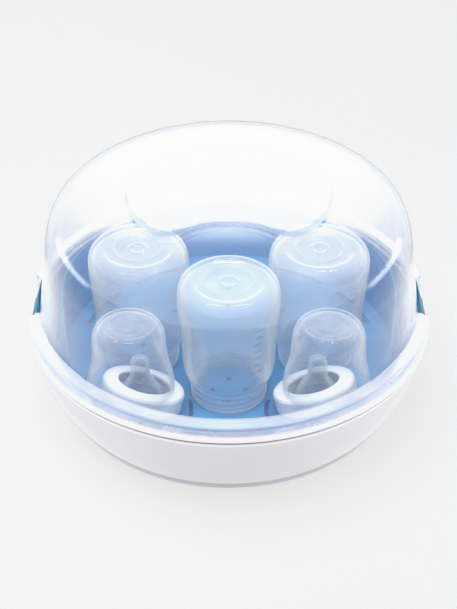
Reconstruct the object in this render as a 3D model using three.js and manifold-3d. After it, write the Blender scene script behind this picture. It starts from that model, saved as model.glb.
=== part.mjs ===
// Microwave steam steriliser for baby bottles: a round white base bowl, a domed clear lid held by two
// side clips, and a blue rack loaded with upturned wide-neck bottles, dome caps, screw rings and teats.
// Millimetres, +Z up, front towards -Y, origin on the floor under the centre of the base.
import * as THREE from "three";
import { mergeVertices } from "three/addons/utils/BufferGeometryUtils.js";
import Module from "manifold-3d";

// ---- driving dimensions ----
const RIM_R = 140.0; // widest radius, at the band round the base's rim
const RIM_Z = 64.0; // top of the base's rim
const GROOVE_Z = 58.7; // line moulded under the rim band
const WALL = 3.0; // base wall
const FOOT_R = 117.7; // outside of the foot ring
const FOOT_H = 3.2;
const BOWL_R = 138.3; // where the bowl meets the straight rim
const BOWL_Z = 50.6;
const BOWL_N = 1.28; // roundness of the bowl's side
const LID_BOTTOM_Z = 64.35;
const LID_FLANGE_R = 139.5;
const LID_FLANGE_Z = 71.6;
const LID_WALL = 2.3;
const LID_R60 = 132.9; // lid wall radius carried down to z = 60
const LID_TAPER = 0.149; // radius lost per mm of height
const DOME_H = 165.6; // crown of the dome
const SHOULDER = [[124.7, 115], [123.6, 123.5], [122.2, 130.5], [119.0, 139.3], [113.7, 146.0], [105.6, 151.4], [94.6, 156.1], [79.8, 160.3], [60.2, 163.5], [36, 165.2], [0, DOME_H]]; // [radius, height]
const PLATEAU_Z = 166.0; // flat grip plateau on the crown
const CLIP_PIVOT = [135.4, 53.6]; // x, z of the clip's pin
const CLIP_BARREL_R = 3.1;
const PIN_R = 1.0;
const PIN_HOLE_R = 1.3;
const POCKET = { inner: 131.9, outer: 141.2, innerHalf: 20.0, outerHalf: 32.0, floor: 50.0 };
const FLOOR_Z = 25.0; // top of the rack's floor
const FLOOR_T = 2.4;
const RACK_T = 2.0;
const RACK_FRONT_Z = 52.5; // low front rim of the rack
const RACK_SIDE_Z = 80.0; // high rim at its sides
const LEG_R = 4.0;
const BOTTLE_BOTTOM_Z = FLOOR_Z + 0.4;
const BOTTLES = { bottle_front: [0, -46.4], bottle_back_left: [-61.3, -8], bottle_back_right: [61.3, -8] };
const CAP_Z = 53.0;
const CAP_AT = [64.9, -74.7];
const RING_AT = [56.4, -66.2, 48.2]; // centre of the ring's top face
const RING_TILT = 22; // degrees, outer side up
const RING_R = 28.2;
const RING_H = 13.0;
const RING_HOLE_R = 18.0;
const TEAT_AT = [59.1, -67.5];
const TEAT_TIP_Z = 71.0;

// ---- solids ----
const wasm = await Module();
wasm.setup();
const V = (x, y) => new THREE.Vector2(x, y);

function clean(geometry) {
  let g = geometry.index ? geometry.clone() : geometry.clone();
  g.deleteAttribute("normal");
  g.deleteAttribute("uv");
  g = mergeVertices(g, 1e-4);
  const p = g.attributes.position;
  const keep = [];
  for (let i = 0; i < g.index.count; i += 3) {
    const [a, b, c] = [g.index.getX(i), g.index.getX(i + 1), g.index.getX(i + 2)];
    if (a !== b && b !== c && c !== a) keep.push([a, b, c]);
  }
  let volume = 0;
  const A = new THREE.Vector3(), B = new THREE.Vector3(), C = new THREE.Vector3();
  for (const [a, b, c] of keep) {
    A.fromBufferAttribute(p, a); B.fromBufferAttribute(p, b); C.fromBufferAttribute(p, c);
    volume += A.dot(B.cross(C));
  }
  return { p: new Float32Array(p.array), t: new Uint32Array(keep.flatMap((k) => (volume < 0 ? [k[0], k[2], k[1]] : k))) };
}
function solid(geometry) {
  const { p, t } = clean(geometry);
  return new wasm.Manifold(new wasm.Mesh({ numProp: 3, vertProperties: p, triVerts: t }));
}
function geometryOf(manifold) {
  const m = manifold.getMesh();
  const g = new THREE.BufferGeometry();
  g.setAttribute("position", new THREE.BufferAttribute(new Float32Array(m.vertProperties), 3));
  g.setIndex(new THREE.BufferAttribute(new Uint32Array(m.triVerts), 1));
  g.computeVertexNormals();
  return g;
}
// a profile of [radius, height] pairs turned about +Z
function turned(profile, segments) {
  const pts = profile.map(([r, z]) => V(r, z));
  if (profile[0][0] > 1e-6) pts.push(pts[0].clone());
  return new THREE.LatheGeometry(pts, segments).rotateX(Math.PI / 2);
}
// an outline in plan, raised from z0 to z1
function raised(outline, z0, z1, holes = []) {
  const s = new THREE.Shape(outline.map(([x, y]) => V(x, y)));
  for (const h of holes) s.holes.push(new THREE.Path(h.map(([x, y]) => V(x, y))));
  return new THREE.ExtrudeGeometry(s, { depth: z1 - z0, bevelEnabled: false }).translate(0, 0, z0);
}
function rodY(r, y0, y1, x, z, segments = 20) {
  return new THREE.CylinderGeometry(r, r, y1 - y0, segments).translate(x, (y0 + y1) / 2, z);
}
const group = new THREE.Group();
function add(name, geometry, colour, roughness, metalness = 0, opacity = 1) {
  const material = new THREE.MeshStandardMaterial({ color: colour, roughness, metalness, transparent: opacity < 1, opacity });
  const mesh = new THREE.Mesh(geometry, material);
  mesh.name = name;
  group.add(mesh);
  return mesh;
}

// ---- base bowl ----
function bowlPoint(t, inset = 0) {
  const r = FOOT_R - 0.5 + (BOWL_R - FOOT_R + 0.5) * Math.cos(t) ** (2 / BOWL_N);
  const z = BOWL_Z - (BOWL_Z - FOOT_H) * Math.sin(t) ** (2 / BOWL_N);
  return [r - inset, z];
}
const bowlOuter = [];
for (let i = 0; i <= 5; i++) bowlOuter.push(bowlPoint((Math.PI / 2) * (1 - i / 5)));
const baseProfile = [
  [FOOT_R - 5.2, 0], [FOOT_R - 0.5, 0], [FOOT_R, 0.6],
  ...bowlOuter,
  [139.3, GROOVE_Z - 1.1], [138.5, GROOVE_Z - 0.5], [RIM_R, GROOVE_Z + 0.7],
  [RIM_R, RIM_Z - 0.8], [RIM_R - 0.8, RIM_Z], [134.8, RIM_Z],
  [134.8, 50.0], [131.6, 34.0], [124.6, 17.0], [112.0, 6.4], [104.0, 5.6], [0, 5.6],
  [0, 2.6], [FOOT_R - 6.2, 2.6],
];
// the lathe starts on the axis, so the profile is turned round to begin and end there
const axisAt = baseProfile.findIndex(([r]) => r === 0);
const baseTurned = [...baseProfile.slice(axisAt + 1), ...baseProfile.slice(0, axisAt + 1)];
let base = solid(turned(baseTurned, 54));
function pocketPlan(side, grow, inner, outer) {
  const k = (POCKET.outerHalf - POCKET.innerHalf) / (POCKET.outer - POCKET.inner);
  const half = (x) => POCKET.innerHalf + Math.max(0, x - POCKET.inner) * k + grow;
  const xs = inner < POCKET.inner - 0.01 ? [inner, POCKET.inner, outer] : [inner, outer];
  return [...xs.map((x) => [x * side, -half(x)]), ...xs.reverse().map((x) => [x * side, half(x)])];
}
const bowlCore = solid(turned([[0, 40.0], ...bowlOuter.filter(([, z]) => z > 40).map(([r, z]) => [r - 1.0, z]), [138.0, GROOVE_Z - 1.2], [138.0, RIM_Z], [0, RIM_Z]], 54));
for (const side of [1, -1]) {
  // inner wall behind the clip's pocket
  base = base.add(solid(raised(pocketPlan(side, 2.2, POCKET.inner - 3.1, 141.0), 43.5, RIM_Z - 0.2)).intersect(bowlCore));
  base = base.subtract(solid(raised(pocketPlan(side, 0, POCKET.inner, POCKET.outer + 2), POCKET.floor, RIM_Z + 4)));
  base = base.subtract(solid(rodY(PIN_HOLE_R, -27.4, 27.4, side * CLIP_PIVOT[0], CLIP_PIVOT[1], 16)));
}
add("base_bowl", geometryOf(base), 0xf4f3f5, 0.28);

// ---- clip pins ----
for (const [name, side] of [["left_clip_pin", -1], ["right_clip_pin", 1]]) {
  add(name, rodY(PIN_R, -27.0, 27.0, side * CLIP_PIVOT[0], CLIP_PIVOT[1], 16), 0xe8e8ea, 0.4);
}

// ---- lid ----
const lidR = (z) => LID_R60 - LID_TAPER * (z - 60);
const inwards = (pts, d) => pts.map(([r, z], i) => {
  const [r0, z0] = pts[Math.max(0, i - 1)], [r1, z1] = pts[Math.min(pts.length - 1, i + 1)];
  const l = Math.hypot(r1 - r0, z1 - z0);
  return [Math.max(0, r - (d * (z1 - z0)) / l), z + (d * (r1 - r0)) / l];
});
const domeOuter = SHOULDER;
const domeInner = inwards(SHOULDER, LID_WALL);
domeInner[domeInner.length - 1] = [0, DOME_H - LID_WALL];
const lidProfile = [
  ...domeInner.slice().reverse(),
  [lidR(66) - LID_WALL, LID_BOTTOM_Z],
  [133.2, LID_BOTTOM_Z], [133.3, 61.6], [134.3, 61.6], [134.5, LID_BOTTOM_Z],
  [LID_FLANGE_R, LID_BOTTOM_Z], [LID_FLANGE_R - 0.1, LID_FLANGE_Z - 0.9],
  [LID_FLANGE_R - 0.9, LID_FLANGE_Z], [lidR(72) + 1.1, LID_FLANGE_Z], [lidR(73) + 0.1, LID_FLANGE_Z + 1.1],
  ...domeOuter,
];
let lid = solid(turned(lidProfile, 54));
// kidney-shaped plateau on the crown
const halfBean = [[0, -50], [11, -51], [20.5, -54], [29, -58.6], [38, -61], [46.5, -59], [53.5, -51.5], [59.5, -42], [64, -31], [67, -17], [67.3, -3],
  [65.5, 9], [60.5, 22.5], [52, 34.5], [42, 44.5], [31, 50.8], [21, 54.6], [10.5, 57.4], [0, 58.4]];
const bean = new THREE.CatmullRomCurve3(
  [...halfBean, ...halfBean.slice(1, -1).reverse().map(([x, y]) => [-x, y])].map(([x, y]) => new THREE.Vector3(x, y, 0)), true, "centripetal")
  .getPoints(44).slice(0, -1).map((p) => [p.x, p.y]);
const beanRing = (scale, z) => bean.map(([x, y]) => [x * scale, (y - 2) * scale + 2, z]);
lid = lid.add(solid(raised(beanRing(1.0, 0), 158.5, PLATEAU_Z - 0.7)).intersect(solid(turned([[0, 158.6], [88, 158.6], [88, PLATEAU_Z], [0, PLATEAU_Z]], 24))));
lid = lid.add(solid(raised(beanRing(0.985, 0), 158.5, PLATEAU_Z)));
lid = lid.subtract(solid(turned([...domeInner.slice().reverse(), [domeInner[0][0], 110], [0, 110]], 54)));
for (const side of [1, -1]) {
  // the flange is cut back beside each clip, and its locating rib with it
  const cut = solid(raised(pocketPlan(side, 0, 126, POCKET.outer + 2), 60, LID_FLANGE_Z + 3))
    .subtract(solid(turned([[0, 55], [lidR(60) + 0.02, 60], [lidR(78) + 0.02, 78], [0, 78]], 54)));
  lid = lid.subtract(cut);
  lid = lid.subtract(solid(raised(pocketPlan(side, 5.0, 126, POCKET.outer + 2), 60, LID_BOTTOM_Z)));
}
add("lid", geometryOf(lid), 0xe9edf6, 0.08, 0, 0.3);

// ---- clips: a plate that leans in against the lid, on a barrel round the pin ----
const clipFace = (z) => 140.6 - (z - 49) * (8.8 / 28);
for (const [name, side] of [["left_clip", -1], ["right_clip", 1]]) {
  const top = 77.0;
  const plate = solid(turned([[lidR(57) + 0.45, 57.0], [lidR(75.0) + 0.45, 75.0], [lidR(76.6) + 0.9, top], [clipFace(top) + 0.35, top - 0.4],
    [clipFace(70), 70], [clipFace(62), 62], [138.3, 55.6], [136.6, 54.4], [133.2, 54.4]], 96));
  const window = solid(raised(pocketPlan(side, -0.6, 126, POCKET.outer + 2), 40, 90));
  const straight = solid(raised([[side * 126, -27], [side * 144, -27], [side * 144, 27], [side * 126, 27]], 40, 90));
  let clip = plate.intersect(window).intersect(straight);
  clip = clip.subtract(solid(raised([[side * 120, -40], [side * (POCKET.inner + 0.35), -40], [side * (POCKET.inner + 0.35), 40], [side * 120, 40]], 40, LID_BOTTOM_Z + 0.1)));
  clip = clip.add(solid(rodY(CLIP_BARREL_R, -18.6, 18.6, side * CLIP_PIVOT[0], CLIP_PIVOT[1], 24)));
  // finger lip along the top edge
  clip = clip.subtract(solid(rodY(PIN_HOLE_R, -40, 40, side * CLIP_PIVOT[0], CLIP_PIVOT[1], 16)));
  add(name, geometryOf(clip), 0x1f7fb0, 0.3);
}

// ---- rack ----
const rackR = (z) => (z < 46 ? 119.6 + ((z - 22) / 24) * 2.6 : 122.2 - ((z - 46) / 34) * 5.8);
function rackRim(phi) { // phi from the front, -Y
  const a = Math.abs(phi) * (180 / Math.PI);
  const rise = THREE.MathUtils.smoothstep(a, 58, 82);
  const back = THREE.MathUtils.smoothstep(a, 98, 150);
  return RACK_FRONT_Z + rise * (RACK_SIDE_Z - RACK_FRONT_Z) - back * 8;
}
const wallHeights = [22.6, 46, 62, RACK_SIDE_Z];
const wallProfile = [...wallHeights.map((z) => [rackR(z), z]), ...wallHeights.slice().reverse().map((z) => [rackR(z) - RACK_T, z])];
const wallGeometry = turned(wallProfile, 60);
const wp = wallGeometry.attributes.position;
for (let i = 0; i < wp.count; i++) {
  const x = wp.getX(i), y = wp.getY(i), z = wp.getZ(i), r = Math.hypot(x, y);
  if (z <= 46.01) continue;
  const inner = Math.abs(r - (rackR(z) - RACK_T)) < Math.abs(r - rackR(z));
  const zn = 46 + ((z - 46) / (RACK_SIDE_Z - 46)) * (rackRim(Math.atan2(x, -y)) - 46);
  const rn = rackR(zn) - (inner ? RACK_T : 0);
  wp.setXYZ(i, (x / r) * rn, (y / r) * rn, zn);
}
function dot(cx, cy, r, n = 8) {
  return Array.from({ length: n }, (_, i) => [cx + r * Math.cos((2 * Math.PI * (i + 0.5)) / n), cy + r * Math.sin((2 * Math.PI * (i + 0.5)) / n)]).reverse();
}
function arcSlot(cx, cy, r, a0, a1, w, n = 4) {
  const out = [], back = [];
  for (let i = 0; i <= n; i++) {
    const a = a0 + ((a1 - a0) * i) / n;
    out.push([cx + (r + w / 2) * Math.cos(a), cy + (r + w / 2) * Math.sin(a)]);
    back.push([cx + (r - w / 2) * Math.cos(a), cy + (r - w / 2) * Math.sin(a)]);
  }
  return [...out, ...back.reverse()].reverse();
}
const floorHoles = [];
for (const [cx, cy] of [...Object.values(BOTTLES), [0, 62]]) {
  for (let k = 0; k < 4; k++) floorHoles.push(dot(cx + 11.5 * Math.cos((k * Math.PI) / 2), cy + 11.5 * Math.sin((k * Math.PI) / 2), 2.0, 6));
}
for (const side of [1, -1]) {
  const c = [side * 57.5, -67.5];
  floorHoles.push(arcSlot(c[0], c[1], 32.0, Math.PI / 2 + side * (Math.PI / 2 - 0.34), Math.PI / 2 + side * (Math.PI / 2 + 0.34), 3.0));
  floorHoles.push(dot(c[0], c[1], 4.0, 8));
  for (const a of [60, 118, 150]) {
    const t = (a * Math.PI) / 180;
    floorHoles.push(arcSlot(0, 0, 106, Math.PI * 1.5 + side * (t - 0.2), Math.PI * 1.5 + side * (t + 0.2), 4.0, 4));
  }
  floorHoles.push(dot(side * 38, 44, 3.5, 8));
}
floorHoles.push(arcSlot(0, 0, 106, Math.PI * 1.5 - 0.2, Math.PI * 1.5 + 0.2, 4.0, 4));
const floorOutline = Array.from({ length: 60 }, (_, i) => {
  const a = (2 * Math.PI * i) / 60;
  return [(rackR(24) - 0.9) * Math.cos(a), (rackR(24) - 0.9) * Math.sin(a)];
});
let rack = solid(wallGeometry).add(solid(raised(floorOutline, FLOOR_Z - FLOOR_T, FLOOR_Z, floorHoles)));
for (let k = 0; k < 6; k++) {
  const a = (Math.PI / 3) * k + Math.PI / 6;
  rack = rack.add(solid(new THREE.CylinderGeometry(LEG_R + 1, LEG_R, 17.6, 10).rotateX(Math.PI / 2).translate(84 * Math.cos(a), 84 * Math.sin(a), 6.0 + 8.8)));
}
add("rack", geometryOf(rack), 0x6fa3cf, 0.35);

// ---- bottles, upturned on the rack ----
const b0 = BOTTLE_BOTTOM_Z;
const bottleOuter = [[26.4, 0], [26.4, 13.6], [28.6, 16.8], [31.1, 23], [31.8, 40],
  [33.9, 68], [34.4, 79], [34.1, 86], [32.4, 90.4], [29.2, 92.7], [25.2, 93.3], [22.4, 91.8], [0, 91.3]];
const bottleInner = [[24.3, 0], [24.3, 14], [29.4, 24], [30.4, 41], [32.4, 68], [32.8, 80], [31.0, 87.6], [26.5, 89.8], [0, 89.4]];
const bottleProfile = [...bottleInner.slice().reverse(), ...bottleOuter].map(([r, z]) => [r, z + b0]);
for (const [name, [cx, cy]] of Object.entries(BOTTLES)) {
  add(name, geometryOf(solid(turned(bottleProfile, 24))), 0xdfe8f4, 0.2, 0, 0.45).position.set(cx, cy, 0);
}

// ---- dome caps ----
const capOuter = [[29.4, 0], [29.0, 6], [25.6, 21], [24.6, 28], [24.2, 38], [23.4, 43.5], [21.2, 47.6], [17.6, 50.2], [0, 50.2]];
const capInner = [[27.9, 0], [27.5, 6], [24.1, 21], [23.1, 28], [22.7, 38], [21.0, 45.0], [17.4, 48.2], [0, 48.5]];
const capProfile = [...capInner.slice().reverse(), ...capOuter].map(([r, z]) => [r, z + CAP_Z]);
for (const [name, side] of [["cap_left", -1], ["cap_right", 1]]) {
  add(name, geometryOf(solid(turned(capProfile, 22))), 0xdfe8f4, 0.15, 0, 0.4).position.set(side * CAP_AT[0], CAP_AT[1], 0);
}

// ---- screw rings, leaning on the rack with the outer side up ----
const ringProfile = [[RING_HOLE_R, 0], [25.6, 0], [27.4, -0.9], [RING_R, -2.8], [RING_R, -RING_H], [26.0, -RING_H],
  [26.0, -2.4], [25.4, -2.0], [RING_HOLE_R, -2.0]];
for (const [name, side] of [["screw_ring_left", -1], ["screw_ring_right", 1]]) {
  const mesh = add(name, geometryOf(solid(turned(ringProfile, 30))), 0xf6f6fa, 0.3);
  const out = new THREE.Vector3(side * RING_AT[0], RING_AT[1], 0).normalize();
  const axis = new THREE.Vector3(0, 0, 1).cross(out).normalize();
  mesh.quaternion.setFromAxisAngle(axis, -THREE.MathUtils.degToRad(RING_TILT));
  mesh.position.set(side * RING_AT[0], RING_AT[1], RING_AT[2]);
}

// ---- teats ----
const teatZ = FLOOR_Z + 0.4;
const teatTip = TEAT_TIP_Z - teatZ;
const teatOuter = [[20.0, 0], [20.0, 1.8], [16.0, 2.6], [15.8, 7], [15.2, 12], [13.8, 17], [11.4, 22], [8.4, 26.5], [6.6, 31],
  [6.6, teatTip - 8.1], [6.0, teatTip - 3.7], [3.6, teatTip - 0.7], [0, teatTip]];
const teatInner = [[14.4, 0], [14.4, 6.5], [12.4, 17], [10.0, 21.8], [7.0, 26.2], [5.2, 31], [5.2, teatTip - 8.1], [4.4, teatTip - 4.3], [0, teatTip - 1.7]];
const teatProfile = [...teatInner.slice().reverse(), ...teatOuter].map(([r, z]) => [r, z + teatZ]);
for (const [name, side] of [["teat_left", -1], ["teat_right", 1]]) {
  add(name, geometryOf(solid(turned(teatProfile, 20))), 0xe6ecf4, 0.25, 0, 0.5).position.set(side * TEAT_AT[0], TEAT_AT[1], 0);
}

export default group;
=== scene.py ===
# Bottle sterilizer: finish, fine surfaces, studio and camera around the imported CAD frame.
# Metres, +Z up, front towards -Y. Profiles below are given in millimetres.
import math
import random

import bmesh
import bpy
import numpy as np
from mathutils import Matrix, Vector


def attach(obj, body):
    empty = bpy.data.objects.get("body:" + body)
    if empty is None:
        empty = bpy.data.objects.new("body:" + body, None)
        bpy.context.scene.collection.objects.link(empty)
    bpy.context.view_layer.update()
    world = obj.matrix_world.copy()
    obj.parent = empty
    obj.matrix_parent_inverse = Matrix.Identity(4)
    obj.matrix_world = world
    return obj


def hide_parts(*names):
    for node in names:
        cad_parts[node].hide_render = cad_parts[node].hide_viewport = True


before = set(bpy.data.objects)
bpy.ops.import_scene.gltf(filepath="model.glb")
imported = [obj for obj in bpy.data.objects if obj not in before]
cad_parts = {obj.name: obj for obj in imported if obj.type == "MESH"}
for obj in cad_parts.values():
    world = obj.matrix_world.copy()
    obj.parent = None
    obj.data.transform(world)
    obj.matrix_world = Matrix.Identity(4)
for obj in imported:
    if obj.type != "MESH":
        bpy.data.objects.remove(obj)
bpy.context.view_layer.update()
random.seed(7)
MM = 0.001
PI = math.pi
scene = bpy.context.scene


# ------------------------------------------------------------------ profiles
def rounded(points, steps=4):
    """Polyline of (r, z[, fillet radius]) with its corners rounded. Ends are kept."""
    out = []
    n = len(points)
    for i, p in enumerate(points):
        rad = p[2] if len(p) > 2 else 0.0
        a = np.array(p[:2], float)
        if rad <= 0 or i in (0, n - 1):
            out.append((a[0], a[1]))
            continue
        u = np.array(points[i - 1][:2], float) - a
        v = np.array(points[i + 1][:2], float) - a
        lu, lv = np.linalg.norm(u), np.linalg.norm(v)
        if lu < 1e-6 or lv < 1e-6:
            out.append((a[0], a[1]))
            continue
        u, v = u / lu, v / lv
        half = math.acos(max(-1.0, min(1.0, float(u @ v)))) / 2
        cut = min(rad / max(math.tan(half), 1e-6), 0.49 * lu, 0.49 * lv)
        p0, p1 = a + u * cut, a + v * cut
        for k in range(steps + 1):
            t = k / steps
            q = (1 - t) ** 2 * p0 + 2 * t * (1 - t) * a + t * t * p1
            out.append((float(q[0]), float(q[1])))
    return out


def loop_rounded(points, steps=4):
    """The same for a closed loop."""
    ext = [points[-1]] + list(points) + [points[0]]
    full = rounded([ext[0]] + ext[1:-1] + [ext[-1]], steps)
    return full[1:-1]


def flow(points, per=6):
    """Smooth curve through the points (centripetal Catmull-Rom)."""
    p = [np.array(q[:2], float) for q in points]
    p = [2 * p[0] - p[1]] + p + [2 * p[-1] - p[-2]]
    out = []
    for i in range(1, len(p) - 2):
        p0, p1, p2, p3 = p[i - 1], p[i], p[i + 1], p[i + 2]
        t0 = 0.0
        t1 = t0 + np.linalg.norm(p1 - p0) ** 0.5
        t2 = t1 + np.linalg.norm(p2 - p1) ** 0.5
        t3 = t2 + np.linalg.norm(p3 - p2) ** 0.5
        for k in range(per):
            t = t1 + (t2 - t1) * k / per
            a1 = (t1 - t) / (t1 - t0) * p0 + (t - t0) / (t1 - t0) * p1
            a2 = (t2 - t) / (t2 - t1) * p1 + (t - t1) / (t2 - t1) * p2
            a3 = (t3 - t) / (t3 - t2) * p2 + (t - t2) / (t3 - t2) * p3
            b1 = (t2 - t) / (t2 - t0) * a1 + (t - t0) / (t2 - t0) * a2
            b2 = (t3 - t) / (t3 - t1) * a2 + (t - t1) / (t3 - t1) * a3
            c = (t2 - t) / (t2 - t1) * b1 + (t - t1) / (t2 - t1) * b2
            out.append((float(c[0]), float(c[1])))
    out.append((float(p[-2][0]), float(p[-2][1])))
    return out


def dense(points, step):
    """Splits long stretches of a polyline."""
    out = [points[0]]
    for a, b in zip(points, points[1:]):
        n = max(1, int(math.ceil(math.hypot(b[0] - a[0], b[1] - a[1]) / step)))
        for k in range(1, n + 1):
            out.append((a[0] + (b[0] - a[0]) * k / n, a[1] + (b[1] - a[1]) * k / n))
    return out


# ------------------------------------------------------------------ meshes
def mesh_object(name, verts, faces, smooth=35, mats=None, fmat=None):
    me = bpy.data.meshes.new(name)
    me.from_pydata([tuple(v) for v in verts], [], [tuple(f) for f in faces])
    if mats:
        for m in mats:
            me.materials.append(m)
    if fmat is not None:
        for poly, k in zip(me.polygons, fmat):
            poly.material_index = int(k)
    me.validate()
    bm = bmesh.new()
    bm.from_mesh(me)
    bmesh.ops.recalc_face_normals(bm, faces=bm.faces)
    bm.to_mesh(me)
    bm.free()
    finish_mesh(me, smooth)
    ob = bpy.data.objects.new(name, me)
    scene.collection.objects.link(ob)
    return ob


def finish_mesh(me, smooth=35):
    me.polygons.foreach_set("use_smooth", [True] * len(me.polygons))
    me.update()
    if smooth < 180:
        me.set_sharp_from_angle(angle=math.radians(smooth))


def grid_solid(rows, closed):
    """rows[i][j] = (x, y, z) in mm: i along the profile, j round the turn. closed: the profile is a loop; else its
    first and last rows are single points on the axis."""
    verts, faces, index = [], [], []
    for row in rows:
        r = []
        if len(row) == 1:
            verts.append(row[0])
            r = [len(verts) - 1]
        else:
            for p in row:
                verts.append(p)
                r.append(len(verts) - 1)
        index.append(r)
    n = max(len(r) for r in index)
    m = len(index)
    where = []
    for i in range(m if closed else m - 1):
        a, b = index[i], index[(i + 1) % m]
        for j in range(n):
            k = (j + 1) % n
            if len(a) == 1 and len(b) == 1:
                continue
            if len(a) == 1:
                faces.append((a[0], b[k], b[j]))
            elif len(b) == 1:
                faces.append((a[j], a[k], b[0]))
            else:
                faces.append((a[j], a[k], b[k], b[j]))
            where.append(i)
    return [(x * MM, y * MM, z * MM) for x, y, z in verts], faces, where


def revolve(name, profile, n=128, at=(0.0, 0.0), shape=None, smooth=35, mats=None, pick=None):
    """Turns a profile of (r, z) mm about +Z. shape(r, z, angle, i) may move a point; pick(i) gives its material."""
    closed = profile[0][0] > 1e-6 or profile[-1][0] > 1e-6
    rows = []
    for i, (r, z) in enumerate(profile):
        if r <= 1e-6:
            rows.append([(at[0], at[1], z)])
            continue
        row = []
        for j in range(n):
            a = 2 * PI * j / n
            rr, zz = shape(r, z, a, i) if shape else (r, z)
            row.append((at[0] + rr * math.cos(a), at[1] + rr * math.sin(a), zz))
        rows.append(row)
    verts, faces, where = grid_solid(rows, closed)
    fmat = [pick(i) for i in where] if pick else None
    return mesh_object(name, verts, faces, smooth, mats, fmat)


def prism(name, plan, z0, z1):
    """A closed prism over a plan outline in mm."""
    n = len(plan)
    verts = [(x * MM, y * MM, z0 * MM) for x, y in plan] + [(x * MM, y * MM, z1 * MM) for x, y in plan]
    faces = [tuple(range(n - 1, -1, -1)), tuple(range(n, 2 * n))]
    faces += [(i, (i + 1) % n, n + (i + 1) % n, n + i) for i in range(n)]
    return mesh_object(name, verts, faces, 180)


def rod(name, axis, r, lo, hi, at, n=32, chamfer=0.0):
    """A rod along x, y or z with chamfered ends, mm."""
    prof = rounded([(0, lo), (r, lo, chamfer), (r, hi, chamfer), (0, hi)], 3) if chamfer else [(0, lo), (r, lo), (r, hi), (0, hi)]
    ob = revolve(name, prof, n)
    for v in ob.data.vertices:
        x, y, z = v.co
        if axis == "y":
            x, y, z = x, z, -y
        elif axis == "x":
            x, y, z = z, y, -x
        v.co = (x + at[0] * MM, y + at[1] * MM, z + at[2] * MM)
    finish_mesh(ob.data, 35)
    return ob


def boolean(ob, other, operation="DIFFERENCE"):
    mod = ob.modifiers.new("cut", "BOOLEAN")
    mod.operation = operation
    mod.solver = "EXACT"
    mod.object = other
    dg = bpy.context.evaluated_depsgraph_get()
    dg.update()
    me = bpy.data.meshes.new_from_object(ob.evaluated_get(dg), depsgraph=dg)
    ob.modifiers.clear()
    old = ob.data
    ob.data = me
    bpy.data.meshes.remove(old)
    bpy.data.objects.remove(other)


def tidy(ob, smooth=35, merge=1e-6, bevel=0.0, segments=2, angle=40):
    bm = bmesh.new()
    bm.from_mesh(ob.data)
    bmesh.ops.remove_doubles(bm, verts=bm.verts, dist=merge)
    bmesh.ops.dissolve_degenerate(bm, edges=bm.edges, dist=1e-6)
    bm.to_mesh(ob.data)
    bm.free()
    if bevel:
        mod = ob.modifiers.new("edge", "BEVEL")
        mod.width = bevel
        mod.segments = segments
        mod.limit_method = "ANGLE"
        mod.angle_limit = math.radians(angle)
        mod.use_clamp_overlap = True
        mod.harden_normals = False
        dg = bpy.context.evaluated_depsgraph_get()
        dg.update()
        me = bpy.data.meshes.new_from_object(ob.evaluated_get(dg), depsgraph=dg)
        ob.modifiers.clear()
        ob.data = me
    finish_mesh(ob.data, smooth)


def keep(ob, body, node=None, mats=None):
    if mats is not None:
        ob.data.materials.clear()
        for m in mats if isinstance(mats, (list, tuple)) else [mats]:
            ob.data.materials.append(m)
    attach(ob, body)
    if node:
        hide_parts(node)
    return ob


# ------------------------------------------------------------------ materials
class Mat:
    def __init__(self, name):
        self.m = bpy.data.materials.new(name)
        self.m.use_nodes = True
        self.nt = self.m.node_tree
        self.nt.nodes.clear()
        self.out = self.nt.nodes.new("ShaderNodeOutputMaterial")
        self.coord = self.nt.nodes.new("ShaderNodeTexCoord")

    def node(self, kind, **props):
        n = self.nt.nodes.new(kind)
        for k, v in props.items():
            if k.startswith("in_"):
                n.inputs[k[3:].replace("_", " ")].default_value = v
            else:
                setattr(n, k, v)
        return n

    def link(self, a, b):
        self.nt.links.new(a, b)

    def noise(self, scale, detail=3.0, rough=0.5, stretch=None):
        n = self.node("ShaderNodeTexNoise")
        n.inputs["Scale"].default_value = scale
        n.inputs["Detail"].default_value = detail
        n.inputs["Roughness"].default_value = rough
        if stretch:
            mp = self.node("ShaderNodeMapping")
            mp.inputs["Scale"].default_value = stretch
            self.link(self.coord.outputs["Object"], mp.inputs["Vector"])
            self.link(mp.outputs["Vector"], n.inputs["Vector"])
        else:
            self.link(self.coord.outputs["Object"], n.inputs["Vector"])
        return n.outputs["Fac"]

    def ranged(self, value, lo, hi, f0=0.3, f1=0.7):
        n = self.node("ShaderNodeMapRange")
        n.inputs["From Min"].default_value = f0
        n.inputs["From Max"].default_value = f1
        n.inputs["To Min"].default_value = lo
        n.inputs["To Max"].default_value = hi
        self.link(value, n.inputs["Value"])
        return n.outputs["Result"]

    def mixed(self, fac, a, b):
        n = self.node("ShaderNodeMix", data_type="RGBA")
        n.inputs["A"].default_value = (*a, 1)
        n.inputs["B"].default_value = (*b, 1)
        self.link(fac, n.inputs["Factor"])
        return n.outputs["Result"]

    def bump(self, height, strength, distance=0.0005):
        n = self.node("ShaderNodeBump")
        n.inputs["Strength"].default_value = strength
        n.inputs["Distance"].default_value = distance
        self.link(height, n.inputs["Height"])
        return n.outputs["Normal"]

    def mix_shader(self, fac, a, b):
        n = self.node("ShaderNodeMixShader")
        if isinstance(fac, float):
            n.inputs[0].default_value = fac
        else:
            self.link(fac, n.inputs[0])
        self.link(a, n.inputs[1])
        self.link(b, n.inputs[2])
        return n.outputs[0]

    def math(self, op, a, b=None, clamp=False):
        n = self.node("ShaderNodeMath", operation=op, use_clamp=clamp)
        for i, v in enumerate((a, b)):
            if v is None:
                continue
            if isinstance(v, (int, float)):
                n.inputs[i].default_value = v
            else:
                self.link(v, n.inputs[i])
        return n.outputs[0]

    def end(self, shader):
        self.link(shader, self.out.inputs["Surface"])
        return self.m


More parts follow.
